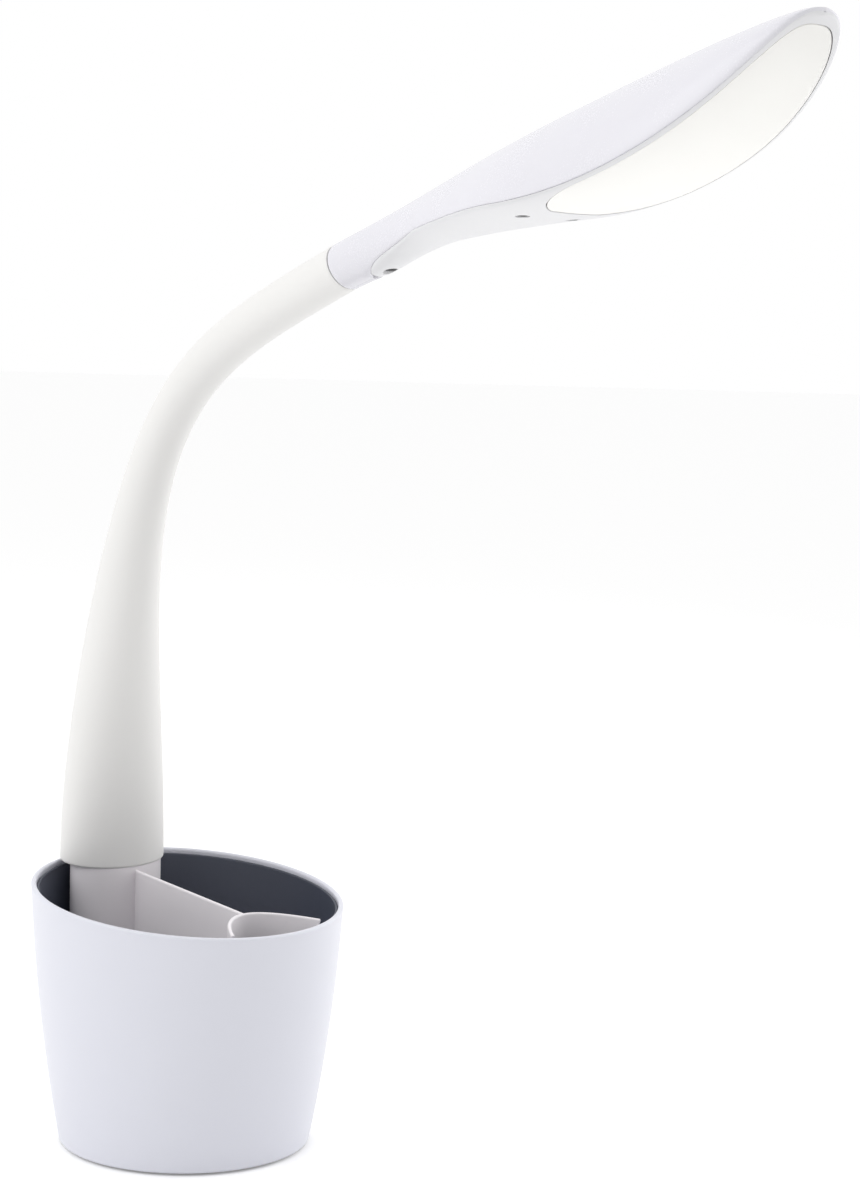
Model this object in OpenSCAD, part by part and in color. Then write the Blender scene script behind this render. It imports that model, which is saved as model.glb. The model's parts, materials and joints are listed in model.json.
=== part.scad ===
// Desk lamp whose base is a divided pencil cup. A flexible neck rises from the back of the cup
// and carries a leaf-shaped head with a row of light-emitting chips behind a frosted diffuser.
// Millimetres. The origin is the centre of the cup's underside, +Z is up and the head reaches
// towards -Y. Points in the lamp's middle plane are written [y, z].

/* [Cup] */
// Outer diameter of the cup just under its rim
rim_d = 143.4; // [140:0.2:148]
// Outer diameter of the cup where it meets the desk
foot_d = 115.2; // [113:0.2:118]
// Radius of the outline's gentle bulge, seen from the side
side_arc_r = 852; // [700:1:1200]
// Height of the rim on the cup's own axis
rim_z = 116.8; // [114:0.1:119]
// Fall of the rim from back to front, in degrees
rim_fall = 5.9; // [5:0.1:7]
// Thickness of the white outer wall
cup_wall = 2.2; // [2:0.1:2.4]
// Thickness of the rounded rim, a little more than the wall's
rim_bead_d = 2.8; // [2.6:0.1:3]
// Thickness of the slate-grey tray inside the cup
liner_wall = 1.3; // [1:0.1:1.5]
// Height of the compartments' floor above the desk
floor_z = 28; // [27:0.5:32]
// Thickness of the divider and of the front pocket's wall
divider_wall = 1.8; // [1.5:0.1:2.2]
// Distance from the cup's axis forward to the back of the front pocket
pocket_apex = 37; // [34:0.5:40]

/* [Base] */
// Thickness of the non-slip mat
mat_h = 1.2; // [1:0.1:1.6]
// Thickness of the plate that closes the cup from below
plate_h = 2.5; // [2:0.1:2.7]
// Diameter of the steel weight
ballast_d = 76; // [70:1:76]
// Thickness of the steel weight
ballast_h = 12; // [10:0.5:12]
// Diameter of the plug that the power socket takes
plug_d = 5.5; // [5.5, 5]
// Travel of the power button
button_travel = 1; // [0.8:0.1:1]

/* [Neck] */
// Distance from the cup's axis back to the middle of the neck's foot
neck_foot_y = 55.8; // [55:0.1:56.5]
// Mean radius of the neck at its foot
neck_foot_r = 24.3; // [23:0.1:25]
// Radius of the neck at the head
neck_end_r = 10.7; // [10.4:0.1:11]
// Distance from the cup's axis forward to the head's seam
neck_reach = 90; // [86:0.5:94]
// Height of the head's seam
neck_end_z = 401; // [396:0.5:406]
// Slope of the neck where it meets the head, in degrees
neck_end_slope = 23; // [20:0.5:26]
// Clearance of the rounded joints between the sleeve's links
joint_gap = 0.45; // [0.4:0.05:0.5]

/* [Head] */
// Distance from the cup's axis forward to the tip of the head
tip_reach = 340; // [334:1:346]
// Height of the head's tip
tip_z = 494; // [490:0.5:498]
// Half the head's greatest width
head_half_w = 37.3; // [36:0.1:39]
// Distance from the cup's axis forward to the head's widest section
widest_reach = 212; // [208:1:216]
// Thickness of the head's shells
shell_wall = 2; // [1.8:0.1:2.2]
// Width of the trim that frames the diffuser
trim_w = 3.6; // [3:0.1:4]

/* [Hidden] */
$fn = 96;

// ---- Cup: derived values ----
rim_r = rim_d / 2;
foot_r = foot_d / 2;
rim_shift = 0.4;                    // the slanted rim's middle lies this far behind the axis
rim_ring_r = rim_r - cup_wall / 2 + 0.16;
slip = 0.15;                        // slip fit between nested mouldings
side_chord = [rim_r - foot_r, rim_z];
side_out = [side_chord.y, -side_chord.x] / norm(side_chord);
side_centre = [foot_r, 0] + side_chord / 2
    - side_out * sqrt(side_arc_r ^ 2 - (norm(side_chord) / 2) ^ 2);
liner_inset = cup_wall + slip + liner_wall;
above_cup = 138;                    // well over the highest point of the rim

// ---- Base: derived values ----
plate_z = mat_h;
deck_z = mat_h + plate_h;           // top of the base plate
ledge_h = 2.5;
boss_ring = 47;                     // distance of the four screw bosses from the axis
boss_r = 4.2;
pilot_r = 1.2;
board_z = 6.5;
board_h = 1.6;
jack = [-11, 14];                   // x and z of the power socket's axis
jack_face_y = 58.4;
jack_depth = 9.5;
button = [13, 14];                  // x and z of the power button's axis
board_holes = [[6, 41], [-19.5, 41]];

// ---- Neck: derived values ----
seam_lift = 1.6;                    // the neck's foot stands this far over the rim's plane
tan_fall = tan(rim_fall);
foot_seam_z = rim_z + seam_lift + neck_foot_y * tan_fall;
neck_line = [
    [neck_foot_y, foot_seam_z],
    [neck_foot_y, foot_seam_z + 95],
    [neck_foot_y - 5, neck_end_z - 46.5],
    [-neck_reach + 89, neck_end_z - 89 * tan(neck_end_slope)],
    [-neck_reach, neck_end_z]
];
pivot_at = [0.37, 0.50, 0.64, 0.78, 0.90];   // where the neck bends, along its line
last_link = 5;
neck_sides = 26;
taper_end = 0.68;                   // the foot's flare has died away here
sleeve_skin = 3;
lip = 0.38;                         // height of a socket's lip, as a share of its radius
bore_r = 5.6;
core_r = 5.3;
core_bore_r = 2.7;
core_pitch = 2.4;
lead_r = 2.6;
anchor_point = [neck_foot_y - 0.3, 100];
post_y = neck_foot_y - 2.8;
post_half = [24.5, 15.5];

// ---- Head: derived values ----
rim_line_stem = [
    [-neck_reach, neck_end_z],
    [-neck_reach - 35, neck_end_z + 35 * tan(neck_end_slope)],
    [-165, 421],
    [-204, 424.7]
];
rim_line_leaf = [[-204, 424.7], [-255, 430], [-312, 458], [-tip_reach, tip_z - 0.5]];
ridge_line = [
    [-neck_reach + neck_end_r * sin(neck_end_slope), neck_end_z + neck_end_r * cos(neck_end_slope)],
    [-160, 444],
    [-250, 482],
    [-tip_reach, tip_z + 1]
];
stem_share = 0.46;                  // share of the head that the stem's curve takes
stem_end_y = -115;                  // the round stem starts to widen here
leaf_power = 2.4;
belly = 4.5;                        // depth of the underside below the rim line
head_steps = 20;
arch_steps = 14;
belly_steps = 8;
window_start_y = -222;
window_round = 34;
board_start = [-226, 434];
board_slope = 24.5;
board_l = 98;
led_screw_at = [[-10, -22], [10, -22], [0, -74]];
head_screw_at = [[0, -121, 402], [-15, -208, 420.9], [15, -208, 420.9]];
cover_boss_r = 4.6;

// ---- Curves ----
function mix(a, b, t) = a + (b - a) * t;
function smooth(t) = let (u = min(max(t, 0), 1)) u * u * (3 - 2 * u);
function bezier(p, t) =
    len(p) == 1 ? p[0] : bezier([for (i = [0:len(p) - 2]) mix(p[i], p[i + 1], t)], t);
// Slope of a curve in the middle plane, counted up from the forward direction
function slope(p, t) =
    let (a = bezier(p, t - 0.001), b = bezier(p, t + 0.001)) atan2(b.y - a.y, a.x - b.x);
function forward(h) = [-cos(h), sin(h)];
function ring(c, h, a, b) = [
    for (i = [0:neck_sides - 1])
        let (f = 360 * i / neck_sides)
        [a * cos(f), c.x + b * sin(f) * sin(h), c.y + b * sin(f) * cos(h)]
];

// Skin through rings that run round a wall and back to the first one
module ring_loop(rings) {
    n = neck_sides;
    m = len(rings);
    polyhedron(
        points = [for (r = rings) each r],
        faces = [
            for (i = [0:m - 1], j = [0:n - 1])
                let (k = (j + 1) % n, next = (i + 1) % m)
                each [[i * n + j, next * n + k, i * n + k], [i * n + j, next * n + j, next * n + k]]
        ]
    );
}

// ---- Cup ----
function cup_r(z) = side_centre.x + sqrt(side_arc_r ^ 2 - (z - side_centre.y) ^ 2);

// Solid of revolution that follows the cup's side, drawn in by inset
module cup_body(inset, z0, z1) {
    steps = 12;
    side = [for (i = [0:steps]) let (z = mix(z0, z1, i / steps)) [cup_r(z) - inset, z]];
    rotate_extrude() polygon(concat([[0, z0]], side, [[0, z1]]));
}

// Everything over the rim's slanted plane, raised by lift
module over_rim(lift) {
    translate([0, 0, rim_z + lift])
        rotate([rim_fall, 0, 0])
            translate([-150, -150, 0]) cube([300, 300, 120]);
}

module at_bosses() {
    for (a = [45:90:315])
        rotate([0, 0, a]) translate([boss_ring, 0, 0]) children();
}

module rod(from, to, r) {
    span = to - from;
    translate(from) rotate([0, acos(span.z / norm(span)), atan2(span.y, span.x)])
        cylinder(r = r, h = norm(span), $fn = 32);
}

module base_mat() {
    color("#4a4c50") cylinder(r = foot_r - 3.1, h = mat_h);
}

module base_plate() {
    color("#e4e4e8") difference() {
        union() {
            translate([0, 0, plate_z]) cylinder(r = foot_r - 2.8, h = plate_h);
            for (p = board_holes)
                translate([p.x, p.y, deck_z]) cylinder(r = 3, h = board_z - deck_z, $fn = 32);
        }
        at_bosses() {
            translate([0, 0, plate_z - 1]) cylinder(r = 1.6, h = plate_h + 2, $fn = 32);
            translate([0, 0, plate_z - 1]) cylinder(r = 3.1, h = 2.4, $fn = 32);
        }
        for (p = board_holes)
            translate([p.x, p.y, plate_z + 1]) cylinder(r = pilot_r, h = 10, $fn = 32);
    }
}

module base_screws() {
    color("#8d9094") at_bosses() {
        translate([0, 0, plate_z + 0.1]) cylinder(r = 2.8, h = 1.3, $fn = 32);
        translate([0, 0, plate_z + 1.2]) cylinder(r = pilot_r - 0.05, h = 12, $fn = 32);
    }
}

module ballast() {
    color("#7c8085") translate([0, -4, deck_z]) difference() {
        cylinder(d = ballast_d, h = ballast_h);
        translate([0, 0, ballast_h - 1]) cylinder(d = ballast_d - 16, h = 2);
    }
}

module cup_wall_and_bosses() {
    difference() {
        union() {
            difference() {
                cup_body(0, mat_h, above_cup);
                cup_body(cup_wall, mat_h - 1, above_cup + 1);
            }
            translate([0, 0, deck_z]) difference() {
                cylinder(r = cup_r(deck_z) - 1, h = ledge_h);
                translate([0, 0, -1]) cylinder(r = 50, h = ledge_h + 2);
            }
            at_bosses() {
                translate([0, 0, deck_z]) cylinder(r = boss_r, h = floor_z - 1.5 - deck_z, $fn = 48);
                translate([2, -1, deck_z]) cube([8, 2, 18]);
            }
        }
        over_rim(-cup_wall / 2);
        at_bosses() translate([0, 0, deck_z - 1]) cylinder(r = pilot_r, h = 13, $fn = 32);
        translate([jack.x, 40, jack.y]) rotate([-90, 0, 0]) cylinder(r = 4.7, h = 30);
        translate([button.x, 40, button.y]) rotate([-90, 0, 0]) cylinder(r = 3.9, h = 30);
    }
}

module cup_shell() {
    color("#e9e9f0") union() {
        cup_wall_and_bosses();
        translate([0, rim_shift, rim_z - cup_wall / 2]) rotate([rim_fall, 0, 0])
            rotate_extrude() translate([rim_ring_r, 0]) circle(d = rim_bead_d, $fn = 12);
    }
}

module compartment_liner() {
    color("#3d424c") difference() {
        cup_body(cup_wall + slip, floor_z - 1.5, above_cup);
        cup_body(liner_inset, floor_z, above_cup + 1);
        over_rim(-2.8);
        translate([0, 47, floor_z - 3]) cylinder(r = 4, h = 6, $fn = 32);
    }
}

// The pocket's back wall follows x^2 = 32 d, with d counted forward from its apex
function pocket_y(x) = -pocket_apex - x ^ 2 / 32;
function pocket_front(x) =
    let (lean = x / 16) [x, pocket_y(x)] - divider_wall * [lean, 1] / norm([lean, 1]);

module divider_insert() {
    back = [for (x = [-40:4:40]) [x, pocket_y(x)]];
    front = [for (x = [40:-4:-40]) pocket_front(x)];
    color("#ebe8ee") difference() {
        intersection() {
            union() {
                translate([0, 0, floor_z]) linear_extrude(above_cup - floor_z)
                    polygon(concat(back, front));
                translate([-divider_wall / 2, -pocket_apex - 0.5, floor_z])
                    cube([divider_wall, pocket_apex + post_y - post_half.y + 0.4, above_cup - floor_z]);
            }
            cup_body(liner_inset + slip, floor_z - 1, above_cup);
        }
        over_rim(-0.3);
    }
}

module dc_jack() {
    body_y = 40;
    color("#26272a") difference() {
        union() {
            translate([jack.x - 5, body_y, board_z + board_h]) cube([10, 13, 11.2]);
            translate([jack.x, body_y + 5, jack.y]) rotate([-90, 0, 0])
                cylinder(r = 4.6, h = jack_face_y - body_y - 5);
        }
        translate([jack.x, jack_face_y - jack_depth, jack.y]) rotate([-90, 0, 0])
            cylinder(d = plug_d, h = jack_depth + 1);
    }
}

module control_board() {
    color("#2f6b45") difference() {
        translate([-23, 37.5, board_z]) cube([43, 8.5, board_h]);
        for (p = board_holes)
            translate([p.x, p.y, board_z - 1]) cylinder(r = 1.5, h = board_h + 2, $fn = 32);
    }
}

module board_parts() {
    top = board_z + board_h;
    color("#303236") {
        translate([button.x - 3, 41.5, top]) cube([6, 4.4, 8.4]);
        translate([button.x, 45, button.y]) rotate([-90, 0, 0]) cylinder(r = 1.6, h = 2.3, $fn = 32);
        translate([17.5, 39.5, top]) cube([2, 5, 1.4]);
    }
}

module board_screws() {
    color("#8d9094") for (p = board_holes) {
        translate([p.x, p.y, board_z + board_h]) cylinder(r = 2.2, h = 1.3, $fn = 32);
        translate([p.x, p.y, board_z - 3.5]) cylinder(r = pilot_r - 0.05, h = 6, $fn = 32);
    }
}

module power_button() {
    color("#d9dade") translate([button.x, 0, button.y]) rotate([-90, 0, 0]) {
        translate([0, 0, 48.6]) cylinder(r = 3.6, h = 11.4);
        translate([0, 0, 52.6]) cylinder(r = 5, h = 1.6);
    }
}

// ---- Neck ----
function neck_r(t) =
    let (fade = t < taper_end ? cos(90 * t / taper_end) : 0)
    neck_end_r + (neck_foot_r - neck_end_r) * fade ^ 2.7;
// The foot is wider from side to side than from front to back
function oval(t) = 1 - smooth(t / 0.34);
function neck_a(t) = neck_r(t) * (1 + 0.13 * oval(t));
function neck_b(t) = neck_r(t) * (1 - 0.24 * oval(t));
function neck_ring(t, inset = 0) =
    ring(bezier(neck_line, t), slope(neck_line, t), neck_a(t) - inset, neck_b(t) - inset);
// Ring of the neck's foot, cut parallel to the cup's rim
function foot_ring(inset) = [
    for (i = [0:neck_sides - 1])
        let (f = 360 * i / neck_sides, y = neck_foot_y + (neck_b(0) - inset) * sin(f))
        [(neck_a(0) - inset) * cos(f), y, rim_z + seam_lift + y * tan_fall]
];

function link_t(i) = i > last_link ? 1 : i == 0 ? 0 : pivot_at[i - 1];
function link_start(i) = i == 0 ? anchor_point : bezier(neck_line, link_t(i));
function link_end(i) = bezier(neck_line, link_t(i + 1));
function link_span(i) = link_end(i) - link_start(i);
function link_slope(i) = atan2(link_span(i).y, -link_span(i).x);

// Rings of a ball about a pivot, from angle a0 to angle a1 over the pivot's plane
function ball_rings(t, r, a0, a1, steps, first = 1) = [
    for (k = [first:steps])
        let (a = mix(a0, a1, k / steps), h = slope(neck_line, t))
        ring(bezier(neck_line, t) + r * sin(a) * forward(h), h, r * cos(a), r * cos(a))
];
function bore_ring(i, along, r) =
    let (h = link_slope(i)) ring(link_start(i) + along * forward(h), h, r, r);

function outer_rings(i) =
    let (t0 = link_t(i), t1 = link_t(i + 1), steps = i == 0 ? 10 : 4)
    concat(
        i == 0
            ? [foot_ring(0)]
            : [ring(link_start(i) + lip * neck_r(t0) * forward(slope(neck_line, t0)),
                slope(neck_line, t0), neck_r(t0), neck_r(t0))],
        [for (k = [1:steps]) neck_ring(mix(t0, t1, k / steps))]
    );
function top_rings(i) =
    let (t = link_t(i + 1), r = neck_r(t), top_angle = acos((bore_r + 0.3) / r),
        length = norm(link_span(i)))
    i == last_link
        ? [bore_ring(i, length, bore_r)]
        : concat(ball_rings(t, r, 0, top_angle, 4), [bore_ring(i, length + r * sin(top_angle) - 0.6, bore_r)]);
function bottom_rings(i) =
    let (t = link_t(i), r = neck_r(t) + joint_gap, bore_angle = acos((bore_r + 0.3) / r))
    i == 0
        ? concat([bore_ring(0, 118, bore_r)], [for (s = [0.2, 0.1]) neck_ring(s, sleeve_skin)],
            [foot_ring(sleeve_skin)])
        : concat([bore_ring(i, r * sin(bore_angle) + 0.6, bore_r)],
            ball_rings(t, r, bore_angle, asin(lip * neck_r(t) / r), 4, 0));

module neck_sleeve(i) {
    color("#e4e3e1") ring_loop(concat(outer_rings(i), top_rings(i), bottom_rings(i)));
}

// Puts its children on a link's own axis, which runs along +Z
module on_link(i) {
    start = link_start(i);
    translate([0, start.x, start.y]) rotate([90 - link_slope(i), 0, 0]) children();
}
function core_from(i) = i == 0 ? 6 : neck_r(link_t(i)) + 1;
function core_to(i) = norm(link_span(i)) + (i == last_link ? 10 : 6.5);

// Corrugated steel tube that holds the neck's shape
module gooseneck(i) {
    from = core_from(i);
    to = core_to(i);
    ridges = floor((to - from) / core_pitch);
    wave = [
        for (k = [0:ridges - 1])
            each [[core_r - 0.5, from + k * core_pitch], [core_r, from + (k + 0.5) * core_pitch]]
    ];
    color("#9a9da1") on_link(i) rotate_extrude($fn = 48) polygon(concat(
        [[core_bore_r, from]], wave, [[core_r - 0.5, to], [core_bore_r, to]]
    ));
}

module lead(i) {
    color("#dcdcdc") if (i == 0) {
        bend = [0, anchor_point.x, anchor_point.y];
        top = anchor_point + core_to(0) * forward(link_slope(0));
        rod([0, 44, board_z + board_h + 0.4], bend, lead_r);
        translate(bend) sphere(r = lead_r + 0.3, $fn = 48);
        rod(bend, [0, top.x, top.y], lead_r);
    } else {
        on_link(i) translate([0, 0, core_from(i)])
            cylinder(r = lead_r, h = core_to(i) - core_from(i), $fn = 32);
    }
}

module post_prism(inset) {
    shape = [for (i = [0:47]) [(post_half.x - inset) * cos(i * 7.5), (post_half.y - inset) * sin(i * 7.5)]];
    intersection() {
        translate([0, post_y, floor_z]) linear_extrude(above_cup - floor_z) polygon(shape);
        cup_body(liner_inset + slip + inset, floor_z - 1, above_cup);
    }
}

module neck_post() {
    color("#dfdfe3") difference() {
        post_prism(0);
        over_rim(seam_lift);
        difference() {
            post_prism(2.2);
            over_rim(seam_lift - 6);
        }
        translate([0, 47, floor_z - 1]) cylinder(r = 4, h = 4, $fn = 32);
        on_link(0) cylinder(r = 7.1, h = 40);
    }
}

module neck_anchor() {
    color("#8d9094") on_link(0) difference() {
        union() {
            translate([0, 0, 4]) cylinder(r = 7, h = 24);
            translate([0, 0, 8]) cylinder(r = 9.8, h = 4);
        }
        translate([0, 0, -1]) cylinder(r = core_r + 0.1, h = 40);
    }
}

// ---- Head ----
function rim_line(u) = u < stem_share
    ? bezier(rim_line_stem, u / stem_share)
    : bezier(rim_line_leaf, (u - stem_share) / (1 - stem_share));
function half_width(y) =
    y > -widest_reach
        ? mix(neck_end_r, head_half_w, smooth((stem_end_y - y) / (widest_reach + stem_end_y)))
        : let (s = min((-widest_reach - y) / (tip_reach - widest_reach), 1))
            head_half_w * (1 - s ^ leaf_power) ^ (1 / leaf_power);
function depth(y) =
    mix(neck_end_r, belly, smooth((-110 - y) / 42)) * (1 - 0.7 * smooth((-290 - y) / 50));

// Outline of one cross-section: an arch over the rim line and a shallow belly under it
function section(u, inset) =
    let (
        base = rim_line(u),
        rise = bezier(ridge_line, u) - base,
        up = rise / norm(rise),
        w = max(half_width(base.x) - inset, 0.4),
        h = max(norm(rise) - inset, 0.4),
        d = max(depth(base.x) - inset, 0.3)
    )
    concat(
        [for (k = [0:arch_steps]) let (a = 180 * k / arch_steps)
            [w * cos(a), base.x + up.x * h * sin(a), base.y + up.y * h * sin(a)]],
        [for (k = [1:belly_steps - 1]) let (a = 180 + 180 * k / belly_steps)
            [w * cos(a), base.x + up.x * d * sin(a), base.y + up.y * d * sin(a)]]
    );

// The head as a solid loft, drawn in by inset
module head_solid(inset, from = 0, to = 1) {
    for (k = [0:head_steps - 1]) {
        u0 = mix(from, to, 1 - (1 - k / head_steps) ^ 1.35);
        u1 = mix(from, to, 1 - (1 - (k + 1) / head_steps) ^ 1.35);
        corners = concat(section(u0, inset), section(u1, inset));
        hull() polyhedron(points = corners, faces = [[for (i = [0:len(corners) - 1]) i]]);
    }
}

// Side profile of everything that belongs to the lower cover, as wide as the head
module under_rim() {
    leaf = [for (k = [6:24]) rim_line(mix(stem_share * 0.5, 1, (k - 6) / 18))];
    profile = concat(
        [[-110, 396], [-121, 404.2]], leaf,
        [[-tip_reach - 6, tip_z + 2], [-tip_reach - 6, 370], [-110, 370]]
    );
    translate([-60, 0, 0]) rotate([90, 0, 90]) linear_extrude(120) polygon(profile);
}

// Plan of the opening that the diffuser fills
function window_half(y, edge) =
    let (s = max((y - window_start_y + edge - 2 * trim_w + window_round) / window_round, 0))
    (half_width(y) - edge) * (1 - min(s, 1) ^ 2.2) ^ (1 / 2.2);
module window(edge) {
    steps = 22;
    y0 = window_start_y + trim_w - edge;
    y1 = -tip_reach + edge;
    ys = [for (k = [0:steps]) mix(y0, y1, (1 - cos(180 * k / steps)) / 2)];
    half = [for (y = ys) max(window_half(y, edge), 0.1)];
    translate([0, 0, 380]) linear_extrude(150) polygon(concat(
        [for (k = [0:steps]) [half[k], ys[k]]],
        [for (k = [steps:-1:0]) [-half[k], ys[k]]]
    ));
}

module on_board() {
    translate([0, board_start.x, board_start.y]) rotate([-board_slope, 0, 0]) children();
}

module head_top_shell() {
    color("#f2f2f6") difference() {
        union() {
            difference() {
                head_solid(0);
                head_solid(shell_wall, -0.01, 0.985);
                under_rim();
            }
            intersection() {
                union() {
                    on_board() for (p = led_screw_at)
                        translate([p.x, p.y, 1.6]) cylinder(r = 3, h = 50, $fn = 24);
                    for (p = head_screw_at)
                        translate([p.x, p.y, p.z + 6.6]) cylinder(r = 3.6, h = 60, $fn = 24);
                }
                head_solid(0.8);
            }
        }
        on_board() for (p = led_screw_at) translate([p.x, p.y, 1]) cylinder(r = 1.2, h = 7, $fn = 16);
        for (p = head_screw_at) {
            translate([p.x, p.y, p.z + 6]) cylinder(r = 1.35, h = 7, $fn = 16);
            translate([p.x, p.y, p.z - 5]) cylinder(r = cover_boss_r + 0.2, h = 11.6, $fn = 24);
        }
    }
}

module head_lower_cover() {
    color("#e7e7ea") difference() {
        union() {
            difference() {
                intersection() {
                    head_solid(0);
                    under_rim();
                }
                head_solid(shell_wall, -0.01, 0.985);
                window(trim_w);
            }
            intersection() {
                head_solid(0);
                for (p = head_screw_at)
                    translate([p.x, p.y, p.z - 3]) cylinder(r = cover_boss_r, h = 9.5, $fn = 24);
            }
        }
        for (p = head_screw_at) {
            translate([p.x, p.y, p.z - 6]) cylinder(r = 3.2, h = 8.6, $fn = 24);
            translate([p.x, p.y, p.z]) cylinder(r = 1.6, h = 12, $fn = 16);
        }
    }
}

module diffuser() {
    color("#f6f6f2") difference() {
        intersection() {
            head_solid(0.2);
            under_rim();
            window(trim_w + 0.15);
        }
        head_solid(2.2, -0.01, 0.985);
    }
}

module led_board() {
    steps = 12;
    half = [for (k = [0:steps]) let (s = k / steps) [17 + 8 * sin(180 * s) - 5 * s, -board_l * s]];
    color("#e8e8e8") on_board() difference() {
        linear_extrude(1.6) polygon(concat(half, [for (k = [steps:-1:0]) [-half[k].x, half[k].y]]));
        for (p = led_screw_at) translate([p.x, p.y, -1]) cylinder(r = 1.5, h = 4, $fn = 32);
    }
}

module leds() {
    color("#f3e9a8") on_board() for (row = [0:7], side = [-1, 1])
        translate([side * 6 - 1.4, -12 - row * 11 - 1.75, -0.8]) cube([2.8, 3.5, 0.8]);
}

module led_screws() {
    color("#8d9094") on_board() for (p = led_screw_at) translate([p.x, p.y, 0]) {
        translate([0, 0, -1.2]) cylinder(r = 2.2, h = 1.2, $fn = 32);
        translate([0, 0, -0.1]) cylinder(r = 1.15, h = 7, $fn = 32);
    }
}

module head_screws() {
    color("#6f7276") for (p = head_screw_at) translate([p.x, p.y, p.z]) {
        translate([0, 0, 0.9]) cylinder(r = 2.8, h = 1.7, $fn = 32);
        translate([0, 0, 2.5]) cylinder(r = 1.25, h = 9.5, $fn = 32);
    }
}

module head_coupler() {
    color("#b9bcc0") difference() {
        translate([0, -neck_reach, neck_end_z]) rotate([90 - neck_end_slope, 0, 0])
            translate([0, 0, 0.2]) cylinder(r = neck_end_r - shell_wall - 0.2, h = 14);
        on_link(last_link) cylinder(r = core_r + 0.1, h = core_to(last_link) + 20);
    }
}

module head_lead() {
    exit = link_start(last_link) + (core_to(last_link) + 0.8) * forward(link_slope(last_link));
    bend = [6, -118, 412.5];
    color("#dcdcdc") {
        rod([0, exit.x, exit.y], bend, 2);
        translate(bend) sphere(r = 2.2, $fn = 48);
        rod(bend, [6, board_start.x - 2, board_start.y + 5.5], 2);
    }
}

base_mat();
base_plate();
base_screws();
ballast();
cup_shell();
compartment_liner();
divider_insert();
dc_jack();
control_board();
board_parts();
board_screws();
power_button();
neck_post();
neck_anchor();
for (i = [0:last_link]) {
    neck_sleeve(i);
    gooseneck(i);
    lead(i);
}
head_coupler();
head_lead();
head_top_shell();
head_lower_cover();
diffuser();
led_board();
leds();
led_screws();
head_screws();
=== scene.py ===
"""Looks of a desk lamp whose neck rises from a divided cup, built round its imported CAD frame.

Metres. The origin is the centre of the cup's underside, +Z is up and the head reaches towards -Y.
Points in the lamp's middle plane are written (y, z).
"""

import functools
import json
import math

import bmesh
import bpy
from mathutils import Matrix, Vector


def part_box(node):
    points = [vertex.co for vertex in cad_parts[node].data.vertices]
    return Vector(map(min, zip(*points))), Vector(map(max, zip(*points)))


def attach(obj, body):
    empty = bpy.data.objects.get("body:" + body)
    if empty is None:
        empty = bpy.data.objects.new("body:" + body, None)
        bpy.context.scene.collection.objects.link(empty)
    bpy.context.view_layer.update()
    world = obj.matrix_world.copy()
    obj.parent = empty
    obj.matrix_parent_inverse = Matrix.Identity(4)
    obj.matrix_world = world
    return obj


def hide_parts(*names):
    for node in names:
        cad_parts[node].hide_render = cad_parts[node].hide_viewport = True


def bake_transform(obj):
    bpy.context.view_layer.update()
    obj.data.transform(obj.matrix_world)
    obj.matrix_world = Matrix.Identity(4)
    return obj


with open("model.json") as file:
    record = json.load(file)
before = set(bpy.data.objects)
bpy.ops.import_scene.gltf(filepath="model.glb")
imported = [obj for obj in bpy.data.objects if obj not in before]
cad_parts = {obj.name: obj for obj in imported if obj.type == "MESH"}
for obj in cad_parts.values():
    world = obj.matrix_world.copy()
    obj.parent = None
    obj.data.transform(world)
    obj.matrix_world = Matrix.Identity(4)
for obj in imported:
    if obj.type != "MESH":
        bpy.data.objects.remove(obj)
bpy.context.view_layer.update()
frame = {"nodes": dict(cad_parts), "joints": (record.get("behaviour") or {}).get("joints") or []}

nodes = frame["nodes"]

# ---- Driving dimensions, the CAD's own ----
MM = 0.001
RIM_R = 71.7 * MM
FOOT_R = 57.6 * MM
SIDE_ARC_R = 852 * MM
RIM_Z = 116.8 * MM
RIM_FALL = math.tan(math.radians(5.9))
RIM_BEAD = 0.15 * MM
CUP_FOOT_ROUND = 1.4 * MM
CUP_WALL = 2.2 * MM
LINER_WALL = 1.3 * MM
LINER_DROP = 2.8 * MM
SLIP = 0.15 * MM
FLOOR_Z = 28 * MM
TRAY_FLOOR = 1.5 * MM
DIVIDER_WALL = 1.8 * MM
DIVIDER_DROP = 1.2 * MM
POCKET_APEX = 37 * MM
POCKET_CURVE = 32 * MM
POST_Y = 53 * MM
POST_HALF_X = 24.5 * MM
POST_HALF_Y = 15.5 * MM
POST_WALL = 2.2 * MM
POST_ROOF = 9 * MM
POST_CHAMFER = 0.25 * MM
SOCKET_HOLE_R = 4.7 * MM
SOCKET_AXIS_DROP = 5.3 * MM
BUTTON_HOLE_R = 3.9 * MM
MAT_H = 1.2 * MM
MAT_R = FOOT_R - 3.1 * MM
BOSS_RING = 47 * MM
BOARD_TOP = 8.1 * MM
BOARD_HOLES = [Vector((6, 41)) * MM, Vector((-19.5, 41)) * MM]

FOOT_LIFT = 1.6 * MM
NECK_FOOT_Y = 55.8 * MM
NECK_FOOT = Vector((NECK_FOOT_Y, RIM_Z + FOOT_LIFT + NECK_FOOT_Y * RIM_FALL))
NECK_FOOT_R = 24 * MM
NECK_END = Vector((-90, 401)) * MM
NECK_END_R = 10.5 * MM
NECK_END_SLOPE = math.radians(23)
NECK_SKIN = 1.9 * MM
SEAM_GAP = 0.25 * MM
SEAM_SHIFT = 4 * MM
SEAM_ROUND = 0.3 * MM

TIP = Vector((-337.5, 494.5)) * MM
HEAD_HALF_W = 36.4 * MM
WIDEST_Y = -224.5 * MM
LEAF_POWER = 2.74
SHELL_WALL = 1.9 * MM
TRIM_W = 2.4 * MM
WINDOW_START_Y = -222 * MM
WINDOW_ROUND = 34 * MM
HEAD_SCREWS = [Vector(spot) * MM for spot in ((0, -121, 402), (-15, -208, 420.9), (15, -208, 420.9))]
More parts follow.
